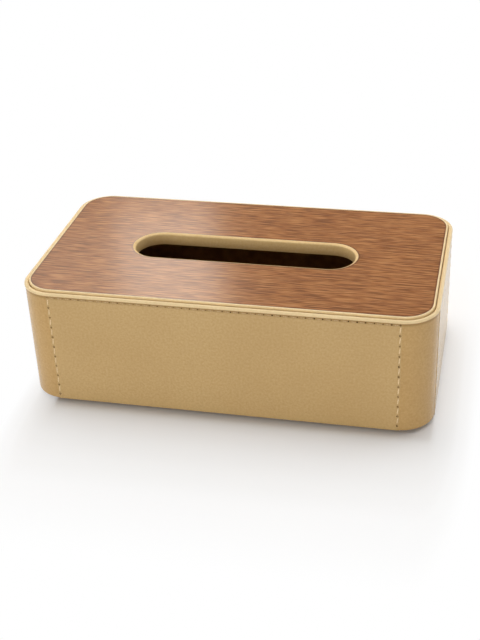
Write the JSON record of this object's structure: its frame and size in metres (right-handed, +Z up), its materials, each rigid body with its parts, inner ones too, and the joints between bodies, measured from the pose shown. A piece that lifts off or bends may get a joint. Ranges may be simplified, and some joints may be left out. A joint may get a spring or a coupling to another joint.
{
  "type": "tissue box holder",
  "caption": "Long rounded box covered in stitched tan leather, with a lift-off walnut lid whose leather-edged slot lets tissues be drawn out.",
  "frame": {"origin": "on the table under the middle of the box", "axes": "+X along the length of the box, -Y to its front, +Z up out of the lid"},
  "size_m": [0.2504, 0.1404, 0.0778],
  "materials": {
    "leather": "tan coated leather, fine grain, satin",
    "walnut": "walnut veneer, open pored, satin lacquer",
    "board": "fibreboard, raw",
    "flannel": "brown flannel, napped",
    "foot_pad": "foam rubber, matt"
  },
  "bodies": {
    "box": {"base_board": "board", "front_board": "board", "left_board": "board", "back_board": "board", "right_board": "board", "front_left_post": "board", "back_left_post": "board", "back_right_post": "board", "front_right_post": "board", "front_leather": "leather", "left_leather": "leather", "back_leather": "leather", "right_leather": "leather", "front_left_leather": "leather", "back_left_leather": "leather", "back_right_leather": "leather", "front_right_leather": "leather", "rim_binding": "leather", "wall_lining": "flannel", "floor_lining": "flannel", "bottom_cover": "flannel", "front_left_foot": "foot_pad", "back_left_foot": "foot_pad", "back_right_foot": "foot_pad", "front_right_foot": "foot_pad"},
    "lid": {"lid_core": "board", "lid_lining": "flannel", "walnut_panel": "walnut", "lid_edge_band": "leather", "slot_collar": "leather"}
  },
  "joints": [
    {"name": "lid_lift", "type": "slide", "parent": "box", "child": "lid", "axis": [0, 0, 1], "range_m": [0, 0.1]}
  ]
}
